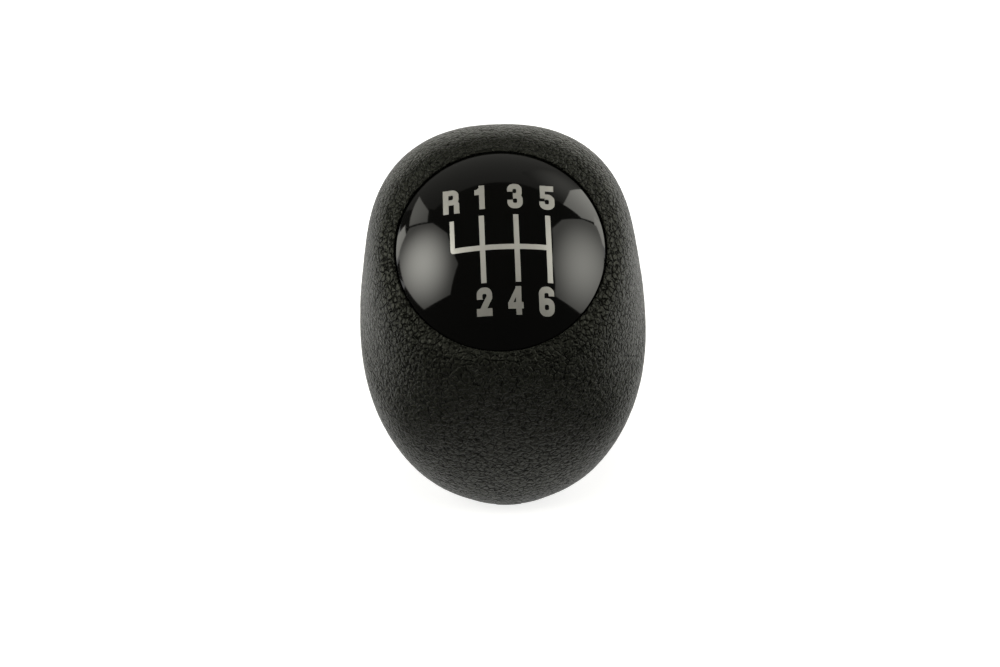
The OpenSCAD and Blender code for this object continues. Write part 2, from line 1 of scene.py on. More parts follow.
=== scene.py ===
"""Looks of the gear shift knob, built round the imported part.

Lengths in the values and forms are in millimetres, and meshes are made in metres.
"""
import math

import bmesh
import bpy
import numpy as np
from mathutils import Matrix, Vector


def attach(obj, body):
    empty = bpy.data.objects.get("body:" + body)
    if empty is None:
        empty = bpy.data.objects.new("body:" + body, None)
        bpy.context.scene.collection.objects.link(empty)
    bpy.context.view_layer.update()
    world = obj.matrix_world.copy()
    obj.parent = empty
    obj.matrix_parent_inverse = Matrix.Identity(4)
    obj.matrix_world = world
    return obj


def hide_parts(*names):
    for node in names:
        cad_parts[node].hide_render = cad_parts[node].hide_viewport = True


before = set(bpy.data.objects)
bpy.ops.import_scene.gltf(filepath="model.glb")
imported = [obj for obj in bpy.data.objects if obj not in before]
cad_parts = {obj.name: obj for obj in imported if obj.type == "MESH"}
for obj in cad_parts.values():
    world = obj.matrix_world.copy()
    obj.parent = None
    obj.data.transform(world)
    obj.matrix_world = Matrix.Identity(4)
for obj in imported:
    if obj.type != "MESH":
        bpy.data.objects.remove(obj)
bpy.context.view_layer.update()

MM = 0.001

# Grip outline, as in the part's source
GRIP_W = 56.4
MOUTH_Z = 1.0
FRONT_RISE = 36.0
FRONT_LOW_REACH = 15.0
FRONT_TOP_REACH = 4.0
BACK_Y = 30.0
BACK_Z = 43.0
BACK_RISE = 15.0
BACK_LOW_REACH = 4.0
BACK_MID_REACH = 20.0
BACK_TOP_REACH = 10.0
BELLY_SHARE = 0.4
SIDE_SHARE = 0.5
SIDE_LEAN = 2.0
SIDE_LOW_REACH = 9.5
SIDE_TOP_REACH = 4.8
FULLNESS = 0.5
SHOULDER_R = 40.0
RIM_LIP = 0.7
MOUTH_LIP = 0.9

# Cap
CAP_MID = np.array([-12.0, 56.0])
CAP_TILT = math.radians(48.0)
CAP_R = 20.3
DOME_R = 26.0
CAP_WALL = 2.0
CAP_SINK = 0.3
SKIRT_H = 3.0
CAP_GAP = 0.3
PAD_T = 0.8
SEAT_T = 2.0
CAP_TURN = math.radians(0.5)
HOOK_W = 4.0
HOOK_T = 1.3
HOOK_GRIP = 0.3
BARB_STEP = 0.7
BARB_H = 1.3
BARB_GAP = 0.1
BARB_RAMP = 0.3
HOOK_COUNT = 4
SKIRT_BEVEL = 0.1

# Fine gap round the cap, in the visual model only: radius of the cap's edge, width of the gap, and
# how far the skin's rim lies below the solid's, from a share of the way up
CAP_EDGE_R = 0.25
RIM_GAP = 0.12
RIM_DROP = 0.35
RIM_DROP_START = 0.9

# Rings of the lip round the cap: steps in from the rim, then out from the gap, each with a height
LIP_OUTER = [(0.25, -0.22), (0.5, -0.13)]
LIP_INNER = [(0.14, -0.08), (0.04, -0.1), (0.01, -0.16), (0.0, -0.24), (0.0, -0.5)]

# Rings of the lip at the mouth: shares of its width, out and down
MOUTH_ROUND = [(0.03, 0.12), (0.15, 0.24), (0.4, 0.32), (0.7, 0.24)]

# Core and lever fitting
BOND_GAP = 0.05
COVER_FRONT = 2.7
COVER_BACK = 3.0
COVER_TOP = 3.3
CROWN_R = 22.5
CORE_MID_Z = 38.0
CORE_RISE = 27.0
CUP_H = 5.0
NECK_H = 5.0
NECK_R = 10.85

# Fineness of the meshes: points round the skin and the cap, and steps along their sections
SKIN_COUNT = 372
SKIN_STEPS = 216
SKIN_EASE = 0.06
CORE_STEPS = 26
CORE_HALVINGS = 24
CAP_COUNT = 240
DOME_STEPS = 72
EDGE_STEPS = 10
INSIDE_STEPS = 30

# Search along a ray for the core's surface: from a share of the neck's radius to past the grip's side
CORE_SEARCH_FROM = 0.9
CORE_SEARCH_PAST = 2.0

# Cap: a point nearer to the axis than this is on it, and an edge past this angle is shaded sharp
ON_AXIS = 1e-6
SHARP_ANGLE = math.radians(40)

# Relief of the skin's grain in the mesh: depth, sizes of its cells and of its swell, widths of both
# kinds of crease as shares of a cell, and the weight of the finer kind
RELIEF_DEPTH = 0.05
RELIEF_CELL = 1.4
RELIEF_SWELL = 4.2
RELIEF_CELL_CREASE = 0.45
RELIEF_SWELL_CREASE = 0.9
RELIEF_CELL_WEIGHT = 0.62

# Shares of the way up over which the relief fades out towards the mouth and the rim
RELIEF_FADE_LOW = 0.03
RELIEF_FADE_HIGH = 0.02

# Whole numbers that scatter the relief's seeds, and how far the swell's are moved
CELL_SEED = 11
SWELL_SEED = 5
SWELL_MOVE = 31.0
CELL_PRIMES = (73856093, 19349663, 83492791)
SPOT_PRIMES = (7919, 104729, 15485863)
SPOT_RANGE = 1000003

# Silver marks: height over the cap, depth down to which a point is on top, and how straight out a face
# of the top looks
FOIL_LIFT = 0.02
FOIL_TOP = 0.1
FOIL_FACING = 0.8

# Gate lines along the cap: how far their middle lies below the cap's, and half their reach
GATE_DROP = 2.6
GATE_HALF = 6.9

# Worked out from the values above
MOUTH_IN_R = NECK_R + BOND_GAP
MOUTH_R = MOUTH_IN_R + MOUTH_LIP
RECESS_R = CAP_R + CAP_GAP
RIM_R = RECESS_R + RIM_LIP
SKIRT_LOW = -CAP_SINK - SKIRT_H
SEAT_TOP = SKIRT_LOW - PAD_T
CAP_NORMAL = np.array([-math.sin(CAP_TILT), math.cos(CAP_TILT)])
CAP_UP = np.array([math.cos(CAP_TILT), math.sin(CAP_TILT)])
RIM_FRONT = CAP_MID - RIM_R * CAP_UP
RIM_BACK = CAP_MID + RIM_R * CAP_UP
SHOULDER_ANGLE = math.asin(RIM_R / SHOULDER_R)
DOME_LOW = CAP_SINK + math.sqrt(DOME_R ** 2 - CAP_R ** 2)

# Grain in the skin's material: sizes of its pebbles, of the breaks in its creases, of its swell and
# of its finest grain, then the warp of the pebbles and the depths of the bumps
PEBBLE = 1.1
CREASE_BREAK = 0.8
SWELL = 0.7
FINE_GRAIN = 0.25
PEBBLE_WARP = 0.7
PEBBLE_DEPTH = 0.44
FINE_DEPTH = 0.02

# Colours of the materials, each a dark and a light end where it varies
SKIN_DARK, SKIN_LIGHT = (0.0114, 0.0120, 0.0092), (0.0143, 0.0150, 0.0116)
# Painted shade of the skin's creases, as if they were deep and unlit
SKIN_PIT_SHADE = (0.0032, 0.0034, 0.0027)
SKIN_SHEEN = (0.97, 1.0, 0.86, 1.0)
GLOSS_DARK, GLOSS_LIGHT = (0.0011, 0.0011, 0.0010), (0.0015, 0.0015, 0.0013)
MARK_DARK, MARK_LIGHT = (0.50, 0.49, 0.455), (0.58, 0.57, 0.53)
# Lighter silver of the gate lines, a painted highlight
GATE_HIGHLIGHT_DARK, GATE_HIGHLIGHT_LIGHT = (0.61, 0.60, 0.56), (0.70, 0.69, 0.645)
STEEL_DARK, STEEL_LIGHT = (0.46, 0.47, 0.48), (0.58, 0.59, 0.6)
PAPER_DARK, PAPER_LIGHT = (0.5, 0.5, 0.49), (0.56, 0.56, 0.55)
CARD_NEAR, CARD_FAR = (0.3, 0.3, 0.29), (0.05, 0.05, 0.05)
NECK_DARK, NECK_LIGHT = (0.022, 0.022, 0.02), (0.034, 0.034, 0.031)
CORE_DARK, CORE_LIGHT = (0.04, 0.04, 0.042), (0.06, 0.06, 0.062)
RUBBER_DARK, RUBBER_LIGHT = (0.02, 0.02, 0.02), (0.035, 0.035, 0.035)
FOAM_DARK, FOAM_LIGHT = (0.045, 0.045, 0.045), (0.08, 0.08, 0.08)

# How far a surface varies either side of its roughness
ROUGH_SPAN = 0.06

# Camera, as the photograph was taken
VIEW_TARGET = Vector((0, 0, 33.1)) * MM
VIEW_DISTANCE = 553.0 * MM
VIEW_ELEVATION = math.radians(24.0)
VIEW_ROLL = math.radians(1.84)
VIEW_LENS = 100.0
VIEW_SHIFT_X = -0.00323

# Studio: corners of the lamps and cards, across and up in their own planes
LEFT_BOX = [(-42, 130), (18, 144), (99, 99), (100, 18), (31, -29), (-27, 0), (-74, 34),
            (-94, 77)]
RIGHT_BOX = [(12, 152), (56, 103), (77, 69), (45, 35), (2, -1), (-22, -29), (-48, -31),
             (-119, 19), (-93, 108), (-33, 167)]
BACK_LEFT_BOX = [(-250, -34), (53, 155), (188, 155), (54, -71)]
BACK_RIGHT_BOX = [(-172, 273), (68, 84), (232, -161), (-110, -193), (-239, 76)]
LOW_BACK_BOX = [(-60, -80), (60, -80), (60, 100), (-60, 100)]
FILL = [(-250, -250), (250, -250), (250, 250), (-250, 250)]
BACKDROP = [(-900, -440), (900, -440), (900, 420), (-900, 420)]
BACKDROP_RIGHT = [(-230, -260), (230, -260), (230, 260), (-230, 260)]
BACKDROP_LOW = [(-560, -125), (560, -125), (560, 205), (-560, 205)]

# Floor, dark card and dark tent, and how much they, the room and the lamps glow
LAMP_COLOUR = (1.0, 0.99, 0.91, 1.0)
FLOOR_R = 1600.0
FLOOR_SHADE_R = 40.0
FLOOR_WHITE_R = 250.0
FLOOR_CARD_R = 1500.0
FLOOR_CARD_HOLE = 32.0
FLOOR_CARD_Z = 0.4
CARD_NEAR_R = 20.0
CARD_FAR_R = 50.0
TENT_R = 1450.0
TENT_WINDOW_BACK = 350.0
TENT_WINDOW_HEIGHT = 400.0
TENT_GLOW = 0.035
ROOM_GLOW = 0.03


def curve(points, t):
    """Points at shares t along a cubic curve; its four control points are numbers or pairs."""
    p = [np.atleast_1d(np.asarray(q, float)) for q in points]
    t = np.asarray(t, float)[:, None]
    return ((1 - t) ** 3 * p[0] + 3 * (1 - t) ** 2 * t * p[1]
            + 3 * (1 - t) * t ** 2 * p[2] + t ** 3 * p[3])


def direction(degrees):
    """Unit pair at an angle from the first axis."""
    a = math.radians(degrees)
    return np.array([math.cos(a), math.sin(a)])


def front_rail(s):
    """Front profile of the grip, as pairs of y and z at shares s of the way up."""
    start = np.array([-MOUTH_R, MOUTH_Z])
    shoulder = CAP_UP * math.cos(SHOULDER_ANGLE) + CAP_NORMAL * math.sin(SHOULDER_ANGLE)
    lean = direction(FRONT_RISE) * [-1, 1]
    return curve([start, start + FRONT_LOW_REACH * lean,
                  RIM_FRONT - FRONT_TOP_REACH * shoulder, RIM_FRONT], s)


def back_rail(s):
    """Back profile of the grip, as pairs of y and z at shares s of the way up."""
    start = np.array([MOUTH_R, MOUTH_Z])
    rear = np.array([BACK_Y, BACK_Z])
    shoulder = CAP_NORMAL * math.sin(SHOULDER_ANGLE) - CAP_UP * math.cos(SHOULDER_ANGLE)
    upper_reach = BACK_MID_REACH * (1 - BELLY_SHARE) / BELLY_SHARE
    low = curve([start, start + BACK_LOW_REACH * direction(BACK_RISE),
                 rear - [0, BACK_MID_REACH], rear], np.clip(s / BELLY_SHARE, 0, 1))
    high = curve([rear, rear + [0, upper_reach],
                  RIM_BACK - BACK_TOP_REACH * shoulder, RIM_BACK],
                 np.clip((s - BELLY_SHARE) / (1 - BELLY_SHARE), 0, 1))
    return np.where((s < BELLY_SHARE)[:, None], low, high)


def half_width(s):
    """Half the grip's width at shares s of the way up."""
    half = GRIP_W / 2
    upper_lean = SIDE_LEAN * (1 - SIDE_SHARE) / SIDE_SHARE
    low = curve([MOUTH_R, MOUTH_R + SIDE_LOW_REACH, half + SIDE_LEAN, half],
                np.clip(s / SIDE_SHARE, 0, 1))
    high = curve([half, half - upper_lean, RIM_R + SIDE_TOP_REACH, RIM_R],
                 np.clip((s - SIDE_SHARE) / (1 - SIDE_SHARE), 0, 1))
    return np.where((s < SIDE_SHARE)[:, None], low, high)[:, 0]


def skin_rings(s, count):
    """Rings of the grip's outside at shares s of the way up, as rings by points by x, y, z."""
    front, back, width = front_rail(s), back_rail(s), half_width(s)
    middle, half = (front + back) / 2, (back - front) / 2
    power = (2 / (2 + FULLNESS * np.sin(math.pi * s)))[:, None]
    a = np.linspace(0, 2 * math.pi, count, endpoint=False)[None, :]
    across = np.sign(np.cos(a)) * np.abs(np.cos(a)) ** power
    along = np.sign(np.sin(a)) * np.abs(np.sin(a)) ** power
    return np.stack([width[:, None] * across,
                     middle[:, :1] + half[:, :1] * along,
                     middle[:, 1:] + half[:, 1:] * along], axis=-1)


def mouth_ring(radius, height, count):
    """Level round ring about the lever's axis."""
    a = np.linspace(0, 2 * math.pi, count, endpoint=False)
    return np.stack([radius * np.cos(a), radius * np.sin(a), np.full(count, height)], axis=-1)


def rim_ring(radius, height, count):
    """Round ring in the cap's own frame, whose zero height is the rim of the grip."""
    a = np.linspace(0, 2 * math.pi, count, endpoint=False)
    side = CAP_MID + radius * np.sin(a)[:, None] * CAP_UP + height * CAP_NORMAL
    return np.stack([radius * np.cos(a), side[:, 0], side[:, 1]], axis=-1)


def core_depth(p):
    """Positive inside the core's outer form, for points p in millimetres."""
    r = np.hypot(p[..., 0], p[..., 1])
    core_r = min(-RIM_FRONT[0], GRIP_W / 2) - COVER_FRONT
    fall = (CORE_MID_Z - NECK_H) / math.sqrt(1 - (NECK_R / core_r) ** 2)
    height = np.where(p[..., 2] < CORE_MID_Z, fall, CORE_RISE)
    turned = 1 - np.sqrt((r / core_r) ** 2 + ((p[..., 2] - CORE_MID_Z) / height) ** 2)
    crown = np.array([0, BACK_Y - COVER_BACK - CROWN_R, RIM_BACK[1] - COVER_TOP - CROWN_R])
    crown_depth = 1 - np.linalg.norm(p - crown, axis=-1) / CROWN_R
    x, up, out = cap_frame(p)
    in_cup = (np.hypot(x, up) < RECESS_R - BOND_GAP) & (out > SEAT_TOP - CUP_H)
    cup_depth = np.where(in_cup, 1.0, -1.0)
    return np.maximum(np.maximum(turned, crown_depth), cup_depth)


def cap_frame(p):
    """Coordinates across, up along and out of the cap, for points p."""
    y, z = p[..., 1] - CAP_MID[0], p[..., 2] - CAP_MID[1]
    return p[..., 0], y * CAP_UP[0] + z * CAP_UP[1], y * CAP_NORMAL[0] + z * CAP_NORMAL[1]


def core_rings(steps, count):
    """Rings of the hollow inside the grip, from the top of its neck to the cap's seat."""
    a = np.linspace(0, 2 * math.pi, count, endpoint=False)
    seat = CAP_MID + SEAT_TOP * CAP_NORMAL
    rings = []
    for t in np.linspace(0, 1, steps):
        lean = CAP_TILT * t
        up = np.array([math.cos(lean), math.sin(lean)])
        middle = (1 - t) * np.array([0, NECK_H]) + t * seat
        ray = np.stack([np.cos(a), np.sin(a) * up[0], np.sin(a) * up[1]], axis=-1)
        start = np.array([0, middle[0], middle[1]])
        near = np.full(count, NECK_R * CORE_SEARCH_FROM)
        far = np.full(count, GRIP_W / 2 + CORE_SEARCH_PAST)
        for _ in range(CORE_HALVINGS):
            trial = (near + far) / 2
            inside = core_depth(start + ray * trial[:, None]) > 0
            near, far = np.where(inside, trial, near), np.where(inside, far, trial)
        rings.append(start + ray * (near + BOND_GAP)[:, None])
    return rings


def cell_noise(p, size, seed):
    """Distances, in sizes, from points p to the nearest two of seeds scattered one size apart."""
    q = p / size
    base = np.floor(q).astype(np.int64)
    nearest = np.full(q.shape[:-1], np.inf)
    second = np.full(q.shape[:-1], np.inf)
    for shift in np.ndindex(3, 3, 3):
        cell = base + np.array(shift) - 1
        mix = np.full(cell.shape[:-1], seed)
        for axis, prime in enumerate(CELL_PRIMES):
            mix = mix ^ cell[..., axis] * prime
        spot = np.stack([((mix * k) % SPOT_RANGE) / SPOT_RANGE for k in SPOT_PRIMES], axis=-1)
        d = np.linalg.norm(cell + spot - q, axis=-1)
        second = np.where(d < nearest, nearest, np.minimum(second, d))
        nearest = np.minimum(nearest, d)
    return nearest, second


def smooth_step(low, high, v):
    """Smooth rise from 0 at low to 1 at high."""
    t = np.clip((v - low) / (high - low), 0, 1)
    return t * t * (3 - 2 * t)


def leather_relief(p):
    """Height of the skin's coarse creases at points p, from -1 to 0."""
    nearest, second = cell_noise(p, RELIEF_CELL, CELL_SEED)
    cells = smooth_step(0, RELIEF_CELL_CREASE, second - nearest)
    nearest, second = cell_noise(p + SWELL_MOVE, RELIEF_SWELL, SWELL_SEED)
    swell = smooth_step(0, RELIEF_SWELL_CREASE, second - nearest)
    return RELIEF_CELL_WEIGHT * (cells - 1) + (1 - RELIEF_CELL_WEIGHT) * (swell - 1)


def add_object(name, mesh):
    """Object of a mesh, linked to the scene."""
    piece = bpy.data.objects.new(name, mesh)
    bpy.context.scene.collection.objects.link(piece)
    return piece


def ring_mesh(name, rings):
    """Closed mesh of quads between rings of equal length; the last ring is joined to the first."""
    grid = np.stack(rings) * MM
    rows, count = grid.shape[:2]
    k = np.arange(rows)[:, None]
    i = np.arange(count)[None, :]
    j = (i + 1) % count
    k2 = (k + 1) % rows
    faces = np.stack([k * count + i, k * count + j, k2 * count + j, k2 * count + i], axis=-1)
    mesh = bpy.data.meshes.new(name)
    mesh.from_pydata(grid.reshape(-1, 3).tolist(), [], faces.reshape(-1, 4).tolist())
    mesh.update()
    mesh.polygons.foreach_set("use_smooth", [True] * len(mesh.polygons))
    return mesh


def displaced(rings, depth, fade):
    """Rings pushed along the surface's normal by the relief; fade has one share per ring."""
    grid = np.stack(rings)
    along = np.roll(grid, -1, axis=1) - np.roll(grid, 1, axis=1)
    up = np.gradient(grid, axis=0)
    normal = np.cross(along, up)
    normal /= np.linalg.norm(normal, axis=-1)[..., None]
    height = leather_relief(grid) * depth * fade[:, None]
    return list(grid + normal * height[..., None])


def grip_skin():
    """Closed skin of the grip: grained outside, rounded lips, recess and hollow for the core."""
    count = SKIN_COUNT
    share = np.linspace(0, 1, SKIN_STEPS)
    s = share - SKIN_EASE * np.sin(2 * math.pi * share) / (2 * math.pi)
    outside = list(skin_rings(s, count))
    fade = smooth_step(0, RELIEF_FADE_LOW, s) * smooth_step(0, RELIEF_FADE_HIGH, 1 - s)
    outside = displaced(outside, RELIEF_DEPTH, fade)
    drop = RIM_DROP * smooth_step(RIM_DROP_START, 1.0, s)
    outside = [ring - d * np.array([0, *CAP_NORMAL]) for ring, d in zip(outside, drop)]
    lip_r = CAP_R + RIM_GAP
    lip = [rim_ring(RIM_R - step, h, count) for step, h in LIP_OUTER]
    lip += [rim_ring(lip_r + step, h, count) for step, h in LIP_INNER]
    recess = [rim_ring(RECESS_R, h, count) for h in (-RIM_LIP, SEAT_TOP / 2)]
    core = core_rings(CORE_STEPS, count)[::-1]
    neck = [mouth_ring(MOUTH_IN_R, z, count) for z in (NECK_H * 0.6, MOUTH_Z)]
    mouth = [mouth_ring(MOUTH_IN_R + MOUTH_LIP * out, MOUTH_Z - MOUTH_LIP * down, count)
             for out, down in MOUTH_ROUND]
    mesh = ring_mesh("grip_skin", outside + lip + recess + core + neck + mouth)
    piece = add_object("grip_skin", mesh)
    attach(piece, "root")
    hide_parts("grip_cover")
    return piece


def cap_to_world():
    """Matrix from the cap's own frame, in metres, to the part's frame."""
    place = Matrix.Translation((0, CAP_MID[0] * MM, CAP_MID[1] * MM))
    return place @ Matrix.Rotation(CAP_TILT, 4, "X")


def arc(middle, radius, start, end, steps):
    """Points along an arc, as pairs; the angles are in radians."""
    a = np.linspace(start, end, steps)
    return [(middle[0] + radius * math.cos(b), middle[1] + radius * math.sin(b)) for b in a]


def cap_outline():
    """Half section of the cap, from the middle of its outside round to the middle of its inside."""
    edge_x = CAP_R - CAP_EDGE_R
    edge_z = math.sqrt((DOME_R - CAP_EDGE_R) ** 2 - edge_x ** 2) - DOME_LOW
    edge_start = math.atan2(edge_z + DOME_LOW, edge_x)
    inner_r = CAP_R - CAP_WALL
    inner_dome = DOME_R - CAP_WALL
    inner_start = math.acos(inner_r / inner_dome)
    outside = arc((0, -DOME_LOW), DOME_R, math.pi / 2, edge_start, DOME_STEPS)
    edge = arc((edge_x, edge_z), CAP_EDGE_R, edge_start, 0, EDGE_STEPS)[1:]
    skirt = [(CAP_R, SKIRT_LOW / 2), (CAP_R, SKIRT_LOW + SKIRT_BEVEL),
             (CAP_R - SKIRT_BEVEL, SKIRT_LOW), (inner_r + SKIRT_BEVEL, SKIRT_LOW),
             (inner_r, SKIRT_LOW + SKIRT_BEVEL)]
    inside = arc((0, -DOME_LOW), inner_dome, inner_start, math.pi / 2, INSIDE_STEPS)
    return outside + edge + skirt + inside


def cap_gloss():
    """Glossy cap: a turned shell with its skirt, and the four snap hooks below it."""
    count = CAP_COUNT
    outline = [p for p in cap_outline() if p[0] > ON_AXIS]
    rings = []
    for r, h in outline:
        a = np.linspace(0, 2 * math.pi, count, endpoint=False)
        rings.append(np.stack([r * np.cos(a), r * np.sin(a), np.full(count, h)], axis=-1))
    grid = np.stack(rings)
    rows = len(rings)
    points = grid.reshape(-1, 3).tolist()
    faces = [[k * count + i, (k + 1) * count + i, (k + 1) * count + (i + 1) % count,
              k * count + (i + 1) % count] for k in range(rows - 1) for i in range(count)]
    points.append([0, 0, DOME_R - DOME_LOW])
    points.append([0, 0, DOME_R - CAP_WALL - DOME_LOW])
    top, low = len(points) - 2, len(points) - 1
    faces += [[top, i, (i + 1) % count] for i in range(count)]
    last = (rows - 1) * count
    faces += [[low, last + (i + 1) % count, last + i] for i in range(count)]
    for k in range(HOOK_COUNT):
        add_hook(points, faces, CAP_TURN + 2 * math.pi * (k + 0.5) / HOOK_COUNT)
    mesh = bpy.data.meshes.new("cap_gloss")
    mesh.from_pydata([[c * MM for c in p] for p in points], [], faces)
    mesh.transform(cap_to_world())
    mesh.update()
    mesh.polygons.foreach_set("use_smooth", [True] * len(mesh.polygons))
    mesh.set_sharp_from_angle(angle=SHARP_ANGLE)
    piece = add_object("cap_gloss", mesh)
    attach(piece, "root")
    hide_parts("cap_dome")
    return piece


def add_hook(points, faces, angle):
    """Adds one sprung arm with its barb to the lists, as an extruded outline."""
    out_r = CAP_R - CAP_WALL + HOOK_GRIP
    barb_top = SEAT_TOP - SEAT_T - BARB_GAP
    outline = [(out_r - HOOK_T, SKIRT_LOW + SKIRT_H / 2), (out_r, SKIRT_LOW + SKIRT_H / 2),
               (out_r, barb_top), (out_r + BARB_STEP, barb_top),
               (out_r + BARB_STEP, barb_top - BARB_RAMP * BARB_H), (out_r, barb_top - BARB_H),
               (out_r - HOOK_T, barb_top - BARB_H)]
    first = len(points)
    c, s = math.cos(angle), math.sin(angle)
    for side in (-HOOK_W / 2, HOOK_W / 2):
        points.extend([[r * c - side * s, r * s + side * c, h] for r, h in outline])
    n = len(outline)
    for i in range(n):
        j = (i + 1) % n
        faces.append([first + i, first + j, first + n + j, first + n + i])
    faces.append([first + i for i in reversed(range(n))])
    faces.append([first + n + i for i in range(n)])


def dome_middle():
    """Centre of the dome's sphere in the part's frame, in metres."""
    side = (CAP_MID - DOME_LOW * CAP_NORMAL) * MM
    return Vector((0, side[0], side[1]))


def pattern_foil():
    """Silver marks: the inlay's own solids, lifted a hair so that they show on the smooth cap."""
    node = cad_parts["shift_pattern"]
    mesh = node.data.copy()
    mesh.name = "pattern_foil"
    middle = dome_middle()
    coords = np.empty(len(mesh.vertices) * 3)
    mesh.vertices.foreach_get("co", coords)
    coords = coords.reshape(-1, 3)
    out = coords - np.array(middle)
    radius = np.linalg.norm(out, axis=1)[:, None]
    coords = coords + out / radius * FOIL_LIFT * MM
    mesh.vertices.foreach_set("co", coords.ravel())
    mesh.update()
    mesh.polygons.foreach_set("use_smooth", [True] * len(mesh.polygons))
    top = radius[:, 0] > (DOME_R - FOIL_TOP) * MM
    loop_vertex = np.empty(len(mesh.loops), dtype=np.int64)
    mesh.loops.foreach_get("vertex_index", loop_vertex)
    flat = np.empty(len(mesh.loops) * 3)
    mesh.corner_normals.foreach_get("vector", flat)
    normals = flat.reshape(-1, 3)
    sphere = (out / radius)[loop_vertex]
    facing = (np.abs((normals * sphere).sum(axis=1)) > FOIL_FACING) & top[loop_vertex]
    mesh.normals_split_custom_set(np.where(facing[:, None], sphere, normals).tolist())
    piece = add_object("pattern_foil", mesh)
    piece.data.materials.clear()
    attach(piece, "root")
    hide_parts("shift_pattern")
    return piece


def colours(sockets):
    """Those of some sockets that carry a colour."""
    return [socket for socket in sockets if socket.type == "RGBA"]


class Nodes:
    """Short way to write a material's nodes."""

    def __init__(self, name):
        self.material = bpy.data.materials.new(name)
        self.material.use_nodes = True
        self.tree = self.material.node_tree
        self.shader = self.tree.nodes["Principled BSDF"]

    def add(self, kind, **values):
        """New node; each value goes to its setting of that name, or else to its input."""
        node = self.tree.nodes.new(kind)
        for key, value in values.items():
            if hasattr(node, key):
                setattr(node, key, value)
            else:
                node.inputs[key.replace("_", " ")].default_value = value
        return node

    def link(self, source, target):
        self.tree.links.new(source, target)

    def place(self, size):
        """Place on the piece in units of size millimetres."""
        coordinate = self.add("ShaderNodeTexCoord")
        mapping = self.add("ShaderNodeMapping")
        mapping.inputs["Scale"].default_value = (1 / (size * MM),) * 3
        self.link(coordinate.outputs["Object"], mapping.inputs["Vector"])
        return mapping.outputs["Vector"]

    def noise(self, size, detail=3.0, rough=0.5):
        """Noise with features of about size millimetres."""
        node = self.add("ShaderNodeTexNoise", Scale=1.0, Detail=detail, Roughness=rough)
        self.link(self.place(size), node.inputs["Vector"])
        return node.outputs["Fac"]

    def spread(self, source, low, high, to_low, to_high):
        """Source taken from the range low to high into the range to_low to to_high."""
        node = self.add("ShaderNodeMapRange", From_Min=low, From_Max=high, To_Min=to_low,
                        To_Max=to_high)
        self.link(source, node.inputs["Value"])
        return node.outputs["Result"]

    def combine(self, operation, first, second):
        """Sum, product or the like of two numbers or other nodes' outputs."""
        node = self.add("ShaderNodeMath", operation=operation)
        for socket, value in zip(node.inputs, (first, second)):
            if isinstance(value, (int, float)):
                socket.default_value = value
            else:
                self.link(value, socket)
        return node.outputs["Value"]

    def blend(self, factor, first, second):
        """Mix of two colours, each given as three numbers or as another node's output."""
        node = self.add("ShaderNodeMix", data_type="RGBA")
        self.link(factor, node.inputs["Factor"])
        for socket, value in zip(colours(node.inputs), (first, second)):
            if isinstance(value, tuple):
                socket.default_value = (*value, 1)
            else:
                self.link(value, socket)
        return colours(node.outputs)[0]

    def bump(self, source, strength, depth, normal=None):
        """Bump of depth millimetres, on top of another normal where one is given."""
        node = self.add("ShaderNodeBump")
        node.inputs["Strength"].default_value = strength
        node.inputs["Distance"].default_value = depth * MM
        self.link(source, node.inputs["Height"])
        if normal:
            self.link(normal, node.inputs["Normal"])
        return node.outputs["Normal"]


def set_shader(nodes, **values):
    """Sets the shader's own sockets to values that are the same all over."""
    for key, value in values.items():
        nodes.shader.inputs[key.replace("_", " ")].default_value = value


def leather_material():
    """Dark grained skin: smooth pebbles a millimetre wide between short, broken creases, darkened with
    painted shade.
    """
    n = Nodes("grained_skin")
    warp = n.add("ShaderNodeTexNoise", Scale=1.0, Detail=2.0)
    n.link(n.place(PEBBLE), warp.inputs["Vector"])
    push = n.add("ShaderNodeVectorMath", operation="MULTIPLY_ADD")
    n.link(warp.outputs["Color"], push.inputs[0])
    push.inputs[1].default_value = (PEBBLE_WARP,) * 3
    n.link(n.place(PEBBLE), push.inputs[2])
    edges = n.add("ShaderNodeTexVoronoi", feature="DISTANCE_TO_EDGE", Scale=1.0, Randomness=1.0)
    n.link(push.outputs["Vector"], edges.inputs["Vector"])
    crease = n.spread(edges.outputs["Distance"], 0.02, 0.2, 1.0, 0.0)
    broken = n.spread(n.noise(CREASE_BREAK, 2.0, 0.6), 0.34, 0.6, 0.1, 0.95)
    shaded_pit = n.combine("MULTIPLY", crease, broken)
    swell = n.noise(SWELL, 2.0, 0.5)
    fine = n.noise(FINE_GRAIN, 2.0, 0.6)
    height = n.combine("SUBTRACT", n.combine("MULTIPLY", swell, 0.9), shaded_pit)
    normal = n.bump(fine, 0.7, FINE_DEPTH, n.bump(height, 1.0, PEBBLE_DEPTH))
    n.link(normal, n.shader.inputs["Normal"])
    worn = n.blend(n.noise(7.0, 3.0), SKIN_DARK, SKIN_LIGHT)
    # Painted shade: the creases get a darker colour and less shine, as if they were deep and unlit
    n.link(n.blend(shaded_pit, worn, SKIN_PIT_SHADE), n.shader.inputs["Base Color"])
    n.link(n.spread(shaded_pit, 0.2, 0.8, 0.42, 0.1), n.shader.inputs["Specular IOR Level"])
    n.link(n.spread(swell, 0.3, 0.7, 0.46, 0.38), n.shader.inputs["Roughness"])
    set_shader(n, IOR=1.42, Specular_Tint=SKIN_SHEEN)
    return n.material


def gloss_material():
    """High-gloss black moulding with a hardly visible unevenness."""
    n = Nodes("black_gloss")
    n.link(n.blend(n.noise(6.0, 2.0), GLOSS_DARK, GLOSS_LIGHT), n.shader.inputs["Base Color"])
    n.link(n.spread(n.noise(14.0, 2.0), 0.3, 0.7, 0.05, 0.075), n.shader.inputs["Roughness"])
    n.link(n.bump(n.noise(7.0, 1.0), 0.15, 0.01), n.shader.inputs["Normal"])
    set_shader(n, IOR=1.6)
    return n.material


